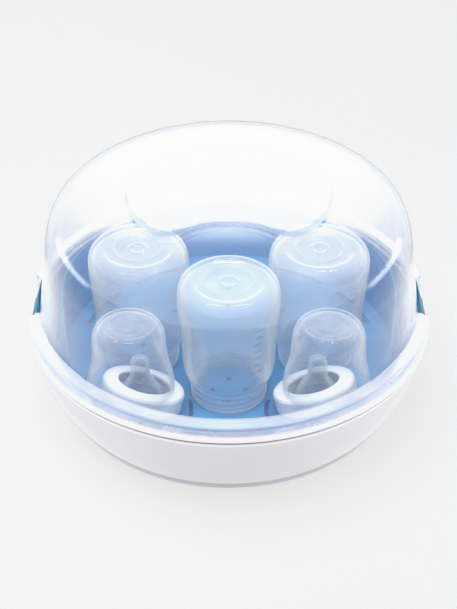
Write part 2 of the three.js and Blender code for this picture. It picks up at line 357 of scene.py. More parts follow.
def solid_plastic(name, base, dark, rough=(0.2, 0.3), scale=60, bump=0.05, coat=0.0, sss=0.0, sss_col=None, fine=900, ior=1.49):
    m = Mat(name)
    p = m.node("ShaderNodeBsdfPrincipled")
    p.inputs["IOR"].default_value = ior
    cloud = m.noise(scale, 4.0, 0.55)
    m.link(m.mixed(m.ranged(cloud, 0, 1), base, dark), p.inputs["Base Color"])
    m.link(m.ranged(m.noise(scale * 2.3, 3.0), rough[0], rough[1]), p.inputs["Roughness"])
    m.link(m.bump(m.noise(fine, 2.0), bump, 0.0002), p.inputs["Normal"])
    if coat:
        p.inputs["Coat Weight"].default_value = coat
        p.inputs["Coat Roughness"].default_value = 0.05
    if sss:
        p.inputs["Subsurface Weight"].default_value = sss
        p.inputs["Subsurface Radius"].default_value = (0.004, 0.004, 0.005)
        p.inputs["Subsurface Scale"].default_value = 1.0
    return m.end(p.outputs["BSDF"])


def clear_plastic(name, tint, haze, haze_amount, haze_edge, edge_power=2.0, rough=0.03, ior=1.5, gloss=1.0, vary=0.15, scale=40, bump=0.03, haze_rough=0.4):
    """Thin clear moulding: tinted see-through, a milky share that grows at grazing angles, and a Fresnel gloss on top."""
    m = Mat(name)
    tr = m.node("ShaderNodeBsdfTransparent")
    tr.inputs["Color"].default_value = (*tint, 1)
    body = m.node("ShaderNodeBsdfPrincipled")
    body.inputs["IOR"].default_value = 1.3
    body.inputs["Specular IOR Level"].default_value = 0.2
    cloud = m.noise(scale, 3.0, 0.5)
    m.link(m.mixed(m.ranged(cloud, 0, 1), haze, tuple(c * 0.95 for c in haze)), body.inputs["Base Color"])
    m.link(m.ranged(m.noise(scale * 3, 3.0), haze_rough, haze_rough + 0.12), body.inputs["Roughness"])
    lw = m.node("ShaderNodeLayerWeight")
    lw.inputs["Blend"].default_value = 0.5
    edge = m.math("POWER", lw.outputs["Facing"], edge_power)
    base = m.math("MULTIPLY", m.ranged(cloud, 1 - vary, 1 + vary), haze_amount)
    amount = m.math("ADD", base, m.math("MULTIPLY", edge, haze_edge), clamp=True)
    inner = m.mix_shader(amount, tr.outputs[0], body.outputs["BSDF"])
    gl = m.node("ShaderNodeBsdfGlossy")
    gl.inputs["Color"].default_value = (gloss, gloss, gloss, 1)
    m.link(m.ranged(m.noise(scale * 2, 3.0), rough, rough * 1.6), gl.inputs["Roughness"])
    nrm = m.bump(m.noise(scale * 1.2, 2.0), bump, 0.0006)
    m.link(nrm, gl.inputs["Normal"])
    lw2 = m.node("ShaderNodeLayerWeight")
    lw2.inputs["Blend"].default_value = 0.5
    m.link(nrm, lw2.inputs["Normal"])
    f0 = ((ior - 1) / (ior + 1)) ** 2
    schlick = m.math("ADD", m.math("MULTIPLY", m.math("POWER", lw2.outputs["Facing"], 5.0), 1 - f0), f0, clamp=True)
    return m.end(m.mix_shader(schlick, inner, gl.outputs[0]))


WHITE = solid_plastic("base_white_plastic", (0.785, 0.775, 0.79), (0.76, 0.75, 0.77), (0.16, 0.24), 35, 0.04)
# painted shade: a greyer copy of the base plastic on the foot band, for the shade under the turned-in bowl
FOOT_PAINTED_SHADE = solid_plastic("base_foot_painted_shade", (0.60, 0.59, 0.625), (0.57, 0.56, 0.60), (0.3, 0.4), 60, 0.06)
# painted highlight: a whiter copy of the base plastic on the rim band and on the lip just under the groove, for the
# light they catch
RIM_PAINTED_HIGHLIGHT = solid_plastic("base_rim_painted_highlight", (0.97, 0.97, 0.975), (0.955, 0.955, 0.965), (0.14, 0.2), 60, 0.03)
WHITE_RING = solid_plastic("ring_white_plastic", (0.84, 0.845, 0.87), (0.81, 0.82, 0.85), (0.28, 0.38), 90, 0.06)
PIN_WHITE = solid_plastic("pin_plastic", (0.7, 0.7, 0.73), (0.64, 0.64, 0.68), (0.35, 0.45), 300, 0.1)
# painted light: a brighter copy of the base plastic on the bowl's inner wall, lifting it out of the shade under the lid
INNER_PAINTED_LIGHT = solid_plastic("base_inner_painted_light", (0.93, 0.92, 0.95), (0.91, 0.90, 0.93), (0.2, 0.3), 35, 0.04)
# painted shade: dark grey on the faces inside the groove under the rim, for the shadow that lies in it
GROOVE_PAINTED_SHADE = solid_plastic("base_groove_painted_shade", (0.42, 0.405, 0.41), (0.39, 0.375, 0.38), (0.4, 0.5), 60, 0.04)
# painted highlight: a whiter band of the base plastic just above the foot, where the bowl turns under
LOWER_EDGE_PAINTED_HIGHLIGHT = solid_plastic("base_lower_edge_painted_highlight", (0.90, 0.895, 0.905), (0.88, 0.875, 0.885), (0.14, 0.2), 60, 0.03)
CLIP_BLUE = solid_plastic("clip_blue_plastic", (0.012, 0.17, 0.30), (0.010, 0.145, 0.26), (0.3, 0.4), 160, 0.08, ior=1.25)
LID = clear_plastic("lid_clear_plastic", (0.985, 0.988, 0.995), (0.94, 0.955, 0.98), 0.02, 0.62, 4.6, 0.03, 1.5, bump=0.01)
FILLET = clear_plastic("lid_fillet_plastic", (0.92, 0.92, 0.965), (0.56, 0.575, 0.66), 0.42, 0.20, 2.0, 0.05, 1.5, bump=0.01)
FLANGE = clear_plastic("lid_flange_plastic", (0.90, 0.93, 0.97), (0.55, 0.61, 0.73), 0.34, 0.20, 2.0, 0.04, 1.45, bump=0.01)
# painted shade: a darker, greyer clear tint on the rows round the plateau's step, for the dark line refraction draws
# along its edge
STEP_PAINTED_SHADE = clear_plastic("lid_step_painted_shade", (0.74, 0.80, 0.90), (0.36, 0.42, 0.50), 0.50, 0.25, 2.0, 0.04, 1.3, bump=0.01)
BOTTLE = clear_plastic("bottle_plastic", (0.96, 0.97, 0.985), (0.91, 0.935, 0.925), 0.13, 0.95, 3.2, 0.06, 1.4, vary=0.25, scale=60)
NECK = clear_plastic("bottle_neck_plastic", (0.95, 0.965, 0.985), (0.91, 0.935, 0.945), 0.20, 0.95, 2.6, 0.06, 1.4, vary=0.2, scale=80)
CAP = clear_plastic("cap_plastic", (0.97, 0.98, 0.995), (0.91, 0.935, 0.93), 0.025, 0.95, 3.0, 0.05, 1.34, vary=0.25, scale=80)
TEAT = clear_plastic("teat_silicone", (0.90, 0.94, 0.96), (0.88, 0.94, 0.95), 0.03, 1.0, 2.4, 0.05, 1.45, vary=0.3, scale=150, bump=0.06)


def rack_material(name="rack_blue_plastic", k=1.0):
    m = Mat(name)
    p = m.node("ShaderNodeBsdfPrincipled")
    cloud = m.noise(28, 4.0, 0.55)
    m.link(m.mixed(m.ranged(cloud, 0, 1), (0.13 * k, 0.48 * k, 0.755 * k), (0.11 * k, 0.44 * k, 0.72 * k)), p.inputs["Base Color"])
    p.inputs["Specular IOR Level"].default_value = 0.25
    m.link(m.ranged(m.noise(90, 3.0), 0.22, 0.36), p.inputs["Roughness"])
    m.link(m.bump(m.noise(700, 2.0), 0.06, 0.0002), p.inputs["Normal"])
    tl = m.node("ShaderNodeBsdfTranslucent")
    tl.inputs["Color"].default_value = (0.15 * k, 0.52 * k, 0.82 * k, 1)
    a = m.mix_shader(0.45, p.outputs["BSDF"], tl.outputs[0])
    tr = m.node("ShaderNodeBsdfTransparent")
    tr.inputs["Color"].default_value = (0.30, 0.60, 0.90, 1)
    return m.end(m.mix_shader(0.14, a, tr.outputs[0]))


RACK = rack_material()
# painted shade: a darker copy of the rack blue (k=0.62) on the upward faces of the rim, toning down the light that
# falls on them
RACK_LIP_PAINTED_SHADE = rack_material("rack_lip_painted_shade", 0.62)


# ------------------------------------------------------------------ dimensions shared with the CAD (mm)
RIM_R, RIM_Z, GROOVE_Z = 140.0, 64.0, 58.7
FOOT_R, FOOT_H, BOWL_R, BOWL_Z, BOWL_N = 117.7, 3.2, 138.3, 50.6, 1.28
LID_BOTTOM, FLANGE_R, FLANGE_Z, LID_WALL = 64.35, 139.5, 71.6, 2.3
SHOULDER = [(124.7, 115), (123.6, 123.5), (122.2, 130.5), (119.0, 139.3), (113.7, 146.0), (105.6, 151.4), (94.6, 156.1), (79.8, 160.3), (60.2, 163.5), (36, 165.2), (0, 165.6)]
PIVOT = (135.4, 53.6)
POCKET_IN, POCKET_OUT, POCKET_H0, POCKET_H1, POCKET_FLOOR = 131.9, 141.2, 20.0, 32.0, 50.0
RACK_FLOOR = 25.0
BOTTLES = {"bottle_front": (0.0, -46.4), "bottle_back_left": (-61.3, -8.0), "bottle_back_right": (61.3, -8.0)}
BOTTLE_Z = 25.4
CAP_AT, CAP_Z = (64.9, -74.7), 53.0
RING_AT, RING_TILT = (56.4, -66.2, 48.2), math.radians(22)
TEAT_AT, TEAT_Z = (59.1, -67.5), 25.4


def lid_r(z):
    return 132.9 - 0.149 * (z - 60)


def pocket_plan(side, grow, inner, outer):
    k = (POCKET_H1 - POCKET_H0) / (POCKET_OUT - POCKET_IN)
    xs = [inner, POCKET_IN, outer] if inner < POCKET_IN - 0.01 else [inner, outer]
    half = lambda x: POCKET_H0 + max(0.0, x - POCKET_IN) * k + grow
    plan = [(x * side, -half(x)) for x in xs] + [(x * side, half(x)) for x in reversed(xs)]
    return plan if side > 0 else plan[::-1]


# ------------------------------------------------------------------ base bowl
def bowl_point(t):
    c, s = max(0.0, math.cos(t)), max(0.0, math.sin(t))
    return (FOOT_R - 0.5 + (BOWL_R - FOOT_R + 0.5) * c ** (2 / BOWL_N), BOWL_Z - (BOWL_Z - FOOT_H) * s ** (2 / BOWL_N))


bowl = [bowl_point(PI / 2 * (1 - i / 26)) for i in range(27)]
outer = rounded([(FOOT_R - 5.2, 2.6), (FOOT_R - 5.2, 0.0, 0.5), (FOOT_R, 0.0, 0.8), (FOOT_R, 2.6, 0.0)], 4)
outer += [(FOOT_R - 0.35, 3.0)] + bowl
outer += rounded([bowl[-1], (139.4, 56.9, 1.6), (137.2, 57.7, 0.3), (137.2, 59.0, 0.3), (RIM_R, 59.5, 0.5), (RIM_R, 61.3, 2.0), (138.8, RIM_Z, 1.4), (135.3, RIM_Z, 0.4), (134.8, 63.2, 0.3)], 4)[1:]
inner = flow([(134.8, 60.0), (134.8, 50.0), (133.6, 42.0), (131.0, 32.5), (126.8, 22.0), (121.6, 13.5), (115.5, 8.2), (107.5, 6.0), (98.0, 5.6)], 5)
profile = [(0, 2.6), (60.0, 2.6)] + outer + inner + [(60.0, 5.6), (0, 5.6)]


def base_slot(i):
    (r0, z0), (r1, z1) = profile[i], profile[(i + 1) % len(profile)]
    r, z = (r0 + r1) / 2, (z0 + z1) / 2
    if i >= len(outer) + 2:
        # inner wall above the floor: painted light
        return 3 if z > 5.5 else 0
    # foot band: painted shade
    if r > 110 and z < 3.2:
        return 1
    # band above the foot: painted highlight
    if r > 115 and z < 4.4:
        return 5
    # rim band: painted highlight
    if r > 137.0 and z > 59.25:
        return 2
    # inside of the groove: painted shade
    if r > 136.0 and z > 57.2:
        return 4
    # lip under the groove: painted highlight
    if r > 136.0 and z > 56.0:
        return 2
    return 0


base = revolve("bowl_shell", profile, 256, mats=[WHITE, FOOT_PAINTED_SHADE, RIM_PAINTED_HIGHLIGHT, INNER_PAINTED_LIGHT, GROOVE_PAINTED_SHADE, LOWER_EDGE_PAINTED_HIGHLIGHT], pick=base_slot)
for side in (1, -1):
    block = prism("block", pocket_plan(side, 2.2, POCKET_IN - 3.1, 141.0), 43.5, RIM_Z - 0.2)
    core = revolve("core", [(0, 38.0)] + [(r - 1.0, z) for r, z in bowl if z > 38] + [(138.0, 57.0), (138.0, RIM_Z), (0, RIM_Z)], 256)
    boolean(block, core, "INTERSECT")
    boolean(base, block, "UNION")
    boolean(base, prism("pocket", pocket_plan(side, 0.0, POCKET_IN, POCKET_OUT + 2), POCKET_FLOOR, RIM_Z + 4), "DIFFERENCE")
    boolean(base, rod("bore", "y", 1.3, -27.4, 27.4, (side * PIVOT[0], 0, PIVOT[1]), 24), "DIFFERENCE")
tidy(base, 30)
keep(base, "base", "base_bowl")

for name, side in (("left_clip_pin", -1), ("right_clip_pin", 1)):
    pin = rod(name + "_turned", "y", 1.0, -27.0, 27.0, (side * PIVOT[0], 0, PIVOT[1]), 32, 0.3)
    keep(pin, "base", name, PIN_WHITE)

# ------------------------------------------------------------------ lid
half_bean = [(0, -50), (11, -51), (20.5, -54), (29, -58.6), (38, -61), (46.5, -59), (53.5, -51.5), (59.5, -42), (64, -31), (67, -17), (67.3, -3),
             (65.5, 9), (60.5, 22.5), (52, 34.5), (42, 44.5), (31, 50.8), (21, 54.6), (10.5, 57.4), (0, 58.4)]
full_bean = half_bean + [(-x, y) for x, y in reversed(half_bean[1:-1])]
bean_curve = flow(full_bean + full_bean[:3], 12)[12 * 1: 12 * (len(full_bean) + 1)]
ang = np.array([math.atan2(y, x) for x, y in bean_curve])
rad = np.array([math.hypot(x, y) for x, y in bean_curve])
order = np.argsort(ang)
ang, rad = ang[order], rad[order]
ang = np.concatenate([ang - 2 * PI, ang, ang + 2 * PI])
rad = np.concatenate([rad, rad, rad])


def bean(a):
    a = (a + PI) % (2 * PI) - PI
    return float(np.interp(a, ang, rad))


dome = flow([(lid_r(78), 78), (lid_r(95), 95)] + SHOULDER, 10)
dome_r = np.array([p[0] for p in dome])[::-1]
dome_z = np.array([p[1] for p in dome])[::-1]
dome_z_of = lambda r: float(np.interp(r, dome_r, dome_z))
N_LID = 288
SPLIT_R = 104.0
wall_up = [p for p in dome if p[0] > SPLIT_R + 1.0]
lower = rounded([(lid_r(70) - LID_WALL, 72.0), (lid_r(66) - LID_WALL, LID_BOTTOM, 0.4), (133.2, LID_BOTTOM, 0.2), (133.35, 61.6, 0.3), (134.25, 61.6, 0.3), (134.4, LID_BOTTOM, 0.3),
                 (FLANGE_R, LID_BOTTOM, 0.5), (FLANGE_R - 0.1, FLANGE_Z, 1.8), (lid_r(72) + 0.2, FLANGE_Z + 0.1, 1.2), (lid_r(73.4), 73.4), (lid_r(78), 78.0)], 4)
stations = []  # (r or None, function) rows, never filled here; the lid's rows below run from the inside crown, down the inner wall, up the outer wall to the crown


def inner_of(r, z, r2, z2):
    l = math.hypot(r2 - r, z2 - z)
    return (r - LID_WALL * (z2 - z) / l, z + LID_WALL * (r2 - r) / l)


inner_dome = [inner_of(*dome[i], *dome[i + 1]) for i in range(len(dome) - 1)]
rows = []
kinds = []


def circle_row(r, z):
    return [(r * math.cos(2 * PI * j / N_LID), r * math.sin(2 * PI * j / N_LID), z) for j in range(N_LID)]


rows.append([(0, 0, 165.6 - LID_WALL)]); kinds.append(0)
for r, z in reversed([p for p in inner_dome if p[0] > 8]):
    rows.append(circle_row(r, z)); kinds.append(0)
for r, z in lower[:-1]:
    rows.append(circle_row(r, z)); kinds.append(3 if (71.2 < z < 72.2 and r > lid_r(73)) else 1 if (r > 132.0 and z < 72.0) else 0)
for r, z in wall_up:
    rows.append(circle_row(r, z)); kinds.append(0)
for u in np.linspace(0, 1, 15):
    row = []
    for j in range(N_LID):
        a = 2 * PI * j / N_LID
        b = bean(a) + 1.3
        r = SPLIT_R + (b - SPLIT_R) * u
        row.append((r * math.cos(a), r * math.sin(a), dome_z_of(r)))
    rows.append(row); kinds.append(0)
PLATEAU = 166.0
# rows near the plateau's edge (kind 2) take the step material with its painted shade
for d, w in ((0.7, 0.06), (0.35, 0.25), (0.1, 0.5), (-0.15, 0.75), (-0.45, 0.94), (-0.8, 0.99), (-1.8, 1.0)):
    row = []
    for j in range(N_LID):
        a = 2 * PI * j / N_LID
        r = bean(a) + d
        z0 = dome_z_of(r)
        row.append((r * math.cos(a), r * math.sin(a), z0 + (PLATEAU - z0) * w))
    rows.append(row); kinds.append(2 if d > -0.6 else 0)
for f in (0.9, 0.75, 0.55, 0.35, 0.18):
    rows.append([((bean(2 * PI * j / N_LID) - 1.8) * f * math.cos(2 * PI * j / N_LID), (bean(2 * PI * j / N_LID) - 1.8) * f * math.sin(2 * PI * j / N_LID), PLATEAU) for j in range(N_LID)])
    kinds.append(0)
rows.append([(0, 0, PLATEAU)]); kinds.append(0)
verts, faces, where = grid_solid(rows, False)
lid = mesh_object("lid_shell", verts, faces, 40, [LID, FLANGE, FILLET, STEP_PAINTED_SHADE], [3 if kinds[i] == 2 else 2 if 3 in (kinds[i], kinds[min(i + 1, len(kinds) - 1)]) else 1 if kinds[i] == 1 and kinds[min(i + 1, len(kinds) - 1)] == 1 else 0 for i in where])
for side in (1, -1):
    cut = prism("cut", pocket_plan(side, 0.0, 126.0, POCKET_OUT + 2), 60.0, FLANGE_Z + 3)
    boolean(cut, revolve("keepwall", [(0, 55.0), (lid_r(60) + 0.02, 60.0), (lid_r(78) + 0.02, 78.0), (0, 78.0)], 288), "DIFFERENCE")
    boolean(lid, cut, "DIFFERENCE")
    boolean(lid, prism("rib", pocket_plan(side, 5.0, 126.0, POCKET_OUT + 2), 60.0, LID_BOTTOM), "DIFFERENCE")
tidy(lid, 40)
keep(lid, "lid", "lid")

# ------------------------------------------------------------------ clips
def clip_face(z):
    return 140.6 - (z - 49) * (8.8 / 28)


for name, side in (("left_clip", -1), ("right_clip", 1)):
    prof = loop_rounded([(lid_r(57) + 0.45, 57.0), (lid_r(75) + 0.45, 75.0, 1.0), (lid_r(76.6) + 0.9, 77.0, 0.4), (clip_face(77) + 0.35, 76.6, 0.4),
                         (clip_face(70), 70.0, 3.0), (clip_face(62), 62.0), (138.3, 55.6, 1.2), (136.6, 54.4, 0.4), (133.2, 54.4)], 3)
    clip = revolve(name + "_moulding", prof, 720)
    boolean(clip, prism("w", pocket_plan(side, -0.6, 126.0, POCKET_OUT + 2), 40, 90), "INTERSECT")
    box = [(side * 126, -27), (side * 144, -27), (side * 144, 27), (side * 126, 27)]
    boolean(clip, prism("w", box if side > 0 else box[::-1], 40, 90), "INTERSECT")
    box = [(side * 120, -40), (side * (POCKET_IN + 0.35), -40), (side * (POCKET_IN + 0.35), 40), (side * 120, 40)]
    boolean(clip, prism("w", box if side > 0 else box[::-1], 40, LID_BOTTOM + 0.1), "DIFFERENCE")
    tongue = [(-29, 50), (29, 50), (29, 60)] + [(10.5 + 9.5 * math.cos(t * PI / 16), 67.5 + 10.0 * math.sin(t * PI / 16)) for t in range(9)]
    tongue += [(-y, z) for y, z in reversed(tongue[3:])] + [(-29, 60)]
    shape = prism("tongue", tongue, 120, 150)
    for v in shape.data.vertices:
        v.co = (side * v.co[2], v.co[0], v.co[1])
    bm = bmesh.new()
    bm.from_mesh(shape.data)
    bmesh.ops.recalc_face_normals(bm, faces=bm.faces)
    bm.to_mesh(shape.data)
    bm.free()
    boolean(clip, shape, "INTERSECT")
    boolean(clip, rod("b", "y", 3.1, -18.6, 18.6, (side * PIVOT[0], 0, PIVOT[1]), 48), "UNION")
    boolean(clip, rod("b", "y", 1.3, -40, 40, (side * PIVOT[0], 0, PIVOT[1]), 32), "DIFFERENCE")
    tidy(clip, 30, bevel=0.00025, segments=2, angle=35)
    keep(clip, name, name, CLIP_BLUE)


# ------------------------------------------------------------------ rack
def rack_r(z):
    return 119.6 + (z - 22) / 24 * 2.6 if z < 46 else 122.2 - (z - 46) / 34 * 5.8


def smoothstep(x, a, b):
    t = max(0.0, min(1.0, (x - a) / (b - a)))
    return t * t * (3 - 2 * t)


def rack_rim(a):
    d = abs(math.degrees(a))
    return 52.5 + smoothstep(d, 58, 82) * 27.5 - smoothstep(d, 98, 150) * 8


heights = [22.6, 26, 31, 36, 41, 46] + list(np.linspace(49, 80, 12))
wall = [(0, z) for z in heights] + [(2, z) for z in heights] + [(1, z) for z in reversed(heights)]
rows, N_RACK = [], 240


def rack_row(inset, z):
    row = []
    for j in range(N_RACK):
        a = 2 * PI * j / N_RACK
        x, y = math.cos(a), math.sin(a)
        rim = rack_rim(math.atan2(x, -y))
        zz = z if z <= 46 else 46 + (z - 46) / 34 * (rim - 46)
        r = rack_r(zz) - inset
        row.append((r * x, r * y, zz))
    return row


for z in heights:
    rows.append(rack_row(0.0, z))
for inset, lift in ((0.12, 0.26), (0.45, 0.5), (1.0, 0.6), (1.55, 0.5), (1.88, 0.26)):
    rows.append([(x, y, z + lift) for x, y, z in rack_row(inset, 80.0)])
for z in reversed(heights):
    rows.append(rack_row(2.0, z))
verts, faces, _ = grid_solid(rows, True)
rack = mesh_object("rack_moulding", verts, faces, 40)


def disc_floor():
    pts = [((rack_r(24) - 0.9) * math.cos(2 * PI * i / 192), (rack_r(24) - 0.9) * math.sin(2 * PI * i / 192)) for i in range(192)]
    return prism("floor", pts, RACK_FLOOR - 2.4, RACK_FLOOR)


def hole(cx, cy, r, n=20):
    return [(cx + r * math.cos(2 * PI * i / n), cy + r * math.sin(2 * PI * i / n)) for i in range(n)]


def arc_slot(cx, cy, r, a0, a1, w, n=16):
    o = [(cx + (r + w / 2) * math.cos(a0 + (a1 - a0) * i / n), cy + (r + w / 2) * math.sin(a0 + (a1 - a0) * i / n)) for i in range(n + 1)]
    b = [(cx + (r - w / 2) * math.cos(a0 + (a1 - a0) * i / n), cy + (r - w / 2) * math.sin(a0 + (a1 - a0) * i / n)) for i in range(n, -1, -1)]
    plan = o + b
    area = sum(p[0] * q[1] - q[0] * p[1] for p, q in zip(plan, plan[1:] + plan[:1]))
    return plan if area > 0 else plan[::-1]


plans = []
for cx, cy in list(BOTTLES.values()) + [(0.0, 62.0)]:
    for k in range(4):
        plans.append(hole(cx + 11.5 * math.cos(k * PI / 2), cy + 11.5 * math.sin(k * PI / 2), 2.0))
for side in (1, -1):
    cx, cy = side * 57.5, -67.5
    plans.append(arc_slot(cx, cy, 32.0, PI / 2 + side * (PI / 2 - 0.34), PI / 2 + side * (PI / 2 + 0.34), 3.0))
    plans.append(hole(cx, cy, 4.0, 32))
    for a in (60, 118, 150):
        t = math.radians(a)
        plans.append(arc_slot(0, 0, 106, PI * 1.5 + side * (t - 0.2), PI * 1.5 + side * (t + 0.2), 4.0))
    plans.append(hole(side * 38, 44, 3.5, 28))
plans.append(arc_slot(0, 0, 106, PI * 1.5 - 0.2, PI * 1.5 + 0.2, 4.0))
deck = disc_floor()
cutter_bm = bmesh.new()
for plan in plans:
    lo = [cutter_bm.verts.new((x * MM, y * MM, 0.018)) for x, y in plan]
    hi = [cutter_bm.verts.new((x * MM, y * MM, 0.030)) for x, y in plan]
    cutter_bm.faces.new(lo[::-1])
    cutter_bm.faces.new(hi)
    for i in range(len(plan)):
        k = (i + 1) % len(plan)
        cutter_bm.faces.new((lo[i], lo[k], hi[k], hi[i]))
cut_me = bpy.data.meshes.new("holes")
cutter_bm.to_mesh(cut_me)
cutter_bm.free()
cutter = bpy.data.objects.new("holes", cut_me)
scene.collection.objects.link(cutter)
boolean(deck, cutter, "DIFFERENCE")
boolean(rack, deck, "UNION")
for k in range(6):
    a = PI / 3 * k + PI / 6
    leg = revolve("leg", rounded([(0, 6.0), (4.0, 6.0, 1.0), (5.0, 23.6), (0, 23.6)], 3), 32, (84 * math.cos(a), 84 * math.sin(a)))
    boolean(rack, leg, "UNION")
tidy(rack, 32)
keep(rack, "rack", "rack", [RACK, RACK_LIP_PAINTED_SHADE])
# upward faces high on the rim take the darker copy: painted shade
for poly in rack.data.polygons:
    poly.material_index = 1 if poly.normal.z > 0.35 and poly.center.z > 0.049 else 0

# ------------------------------------------------------------------ bottles
b_out = rounded([(24.5, 0.0), (26.2, 0.0, 0.6), (26.2, 1.6)], 3)
b_neck = [(25.3, 2.0 + 0.35 * k) for k in range(31)]
b_collar = rounded([(25.3, 12.9), (26.9, 13.2, 0.4), (27.3, 14.8, 0.5), (26.6, 15.2, 0.4)], 2)[1:]
b_body = flow([(26.8, 15.4), (28.9, 17.2), (30.6, 21.5), (31.3, 27), (31.6, 36), (32.2, 48), (33.2, 60), (34.1, 72), (34.4, 79), (34.0, 85.5), (32.2, 90.0), (29.3, 92.4), (26.4, 93.25), (24.6, 93.2)], 5)
b_base = rounded([(24.6, 93.2), (23.2, 92.3, 0.8), (21.6, 91.6, 0.5), (17.2, 91.4, 0.2), (16.6, 92.0, 0.3), (15.4, 92.0, 0.3), (14.8, 91.4, 0.2), (7.6, 91.2, 0.3), (6.4, 91.9, 0.5), (5.0, 91.9, 0.5), (3.2, 90.9, 0.6), (0, 90.6)], 3)[1:]
b_in = flow([(0, 89.1), (12, 89.5), (22, 90.0), (27.2, 89.6), (30.6, 87.2), (32.3, 83.6), (32.8, 78), (32.4, 70), (31.4, 58), (30.4, 46), (29.9, 36), (29.4, 26), (27.6, 19.5), (24.9, 15.5), (24.3, 12), (24.3, 6), (24.3, 1)], 4)
b_profile = b_in + b_out + b_neck[1:] + b_collar + b_body[1:-1] + b_base
b_profile = [(r, z + BOTTLE_Z) for r, z in b_profile]
neck0 = len(b_in) + len(b_out)
neck1 = neck0 + len(b_neck) - 1


def bottle_shape(r, z, a, i):
    if neck0 <= i < neck1:  # one and a half turns of thread on the neck
        h = z - BOTTLE_Z
        ramp = smoothstep(h, 2.0, 4.0) * (1 - smoothstep(h, 10.2, 12.4))
        phase = ((h - 3.0) / 4.6 - a / (2 * PI)) % 1.0
        ridge = max(0.0, 1 - abs(phase - 0.5) / 0.24)
        return r + 1.1 * ridge ** 0.8 * ramp, z
    return r, z


def tick_marks(name, centre, r_at, z_marks, a0, body):
    """Short moulded graduation marks that stand just proud of the bottle's wall."""
    bm = bmesh.new()
    for z, span in z_marks:
        rr = r_at(z)
        for k in range(8):
            pass
        n = 8
        ring = []
        for dz in (-0.32, 0.32):
            for rad_off in (-0.12, 0.16):
                ring.append([bm.verts.new(((centre[0] + (r_at(z + dz) + rad_off) * math.cos(a0 + span * (j / n - 0.5))) * MM,
                                           (centre[1] + (r_at(z + dz) + rad_off) * math.sin(a0 + span * (j / n - 0.5))) * MM, (z + dz) * MM)) for j in range(n + 1)])
        lo_i, lo_o, hi_i, hi_o = ring
        for j in range(n):
            bm.faces.new((lo_o[j], lo_o[j + 1], hi_o[j + 1], hi_o[j]))
            bm.faces.new((hi_i[j], hi_i[j + 1], lo_i[j + 1], lo_i[j]))
            bm.faces.new((hi_o[j], hi_o[j + 1], hi_i[j + 1], hi_i[j]))
            bm.faces.new((lo_i[j], lo_i[j + 1], lo_o[j + 1], lo_o[j]))
        bm.faces.new((lo_i[0], lo_o[0], hi_o[0], hi_i[0]))
        bm.faces.new((hi_i[n], hi_o[n], lo_o[n], lo_i[n]))
    bmesh.ops.recalc_face_normals(bm, faces=bm.faces)
    me = bpy.data.meshes.new(name)
    bm.to_mesh(me)
    bm.free()
    finish_mesh(me, 30)
    ob = bpy.data.objects.new(name, me)
    scene.collection.objects.link(ob)
    return keep(ob, body, None, MARK)


MARK = solid_plastic("graduation_print", (0.30, 0.36, 0.48), (0.26, 0.32, 0.44), (0.4, 0.55), 400, 0.05)
bz = np.array([p[1] for p in b_body]) + BOTTLE_Z
br = np.array([p[0] for p in b_body])
body_r = lambda z: float(np.interp(z, bz, br))
for name, at in BOTTLES.items():
    ob = revolve(name + "_moulding", b_profile, 144, at, bottle_shape, 40, [BOTTLE, NECK], lambda i: 1 if max(b_profile[i][1], b_profile[(i + 1) % len(b_profile)][1]) < BOTTLE_Z + 15.6 else 0)
    keep(ob, name, name)
    turn = {"bottle_front": -0.95, "bottle_back_left": -2.05, "bottle_back_right": -0.85}[name]
    marks = [(50.0 + 6.0 * k, 0.16 if k % 2 else 0.26) for k in range(9)]
    tick_marks(name + "_marks", at, body_r, marks, turn, name)

# ------------------------------------------------------------------ dome caps
c_out = rounded([(27.95, 0.0, 0.0), (29.4, 0.0, 0.4), (29.3, 2.2, 0.4)], 3) + flow([(29.2, 2.6), (28.9, 6), (27.7, 12), (26.1, 18.5), (25.0, 25), (24.5, 32), (24.1, 39), (23.2, 44.2), (21.0, 48.1), (18.4, 50.0), (17.0, 50.35)], 4)
c_top = rounded([(17.0, 50.35), (16.2, 49.7, 0.4), (13.2, 49.65, 0.2), (12.7, 50.0, 0.2), (12.1, 50.0, 0.2), (11.6, 49.65, 0.2), (7.9, 49.6, 0.2), (7.4, 50.0, 0.2), (6.8, 50.0, 0.2), (6.3, 49.6, 0.2), (0, 49.6)], 2)[1:]
c_in = flow([(0, 48.3), (10, 48.3), (16.6, 48.2), (19.4, 46.6), (21.6, 43), (22.5, 38.6), (22.9, 32), (23.4, 25), (24.5, 18.5), (26.1, 12), (27.3, 6), (27.8, 1.0)], 4)
c_profile = [(r, z + CAP_Z) for r, z in c_in + c_out + c_top]
for name, side in (("cap_left", -1), ("cap_right", 1)):
    ob = revolve(name + "_moulding", c_profile, 128, (side * CAP_AT[0], CAP_AT[1]), None, 40)
    keep(ob, name, name, CAP)

# ------------------------------------------------------------------ screw rings
H = 13.0
r_profile = loop_rounded([(18.0, 0.0, 0.5), (25.4, 0.0, 1.4), (27.4, -0.8, 1.4), (28.2, -2.8, 1.0), (28.2, -H, 0.5), (26.0, -H, 0.4), (25.95, -11.2, 0.3), (25.2, -10.4, 0.3), (25.2, -9.4, 0.3), (25.95, -8.6, 0.3),
                           (25.95, -6.6, 0.3), (25.2, -5.8, 0.3), (25.2, -4.8, 0.3), (25.95, -4.0, 0.3), (26.0, -2.4, 0.5), (25.4, -2.0, 0.3), (18.0, -2.0, 0.5)], 3)
r_profile = dense(r_profile, 2.0)


def ring_shape(r, z, a, i):
    if r > 28.0 and -11.6 < z < -3.4:  # very shallow grip flutes
        return r - 0.14 * (0.5 + 0.5 * math.cos(60 * a)), z
    return r, z


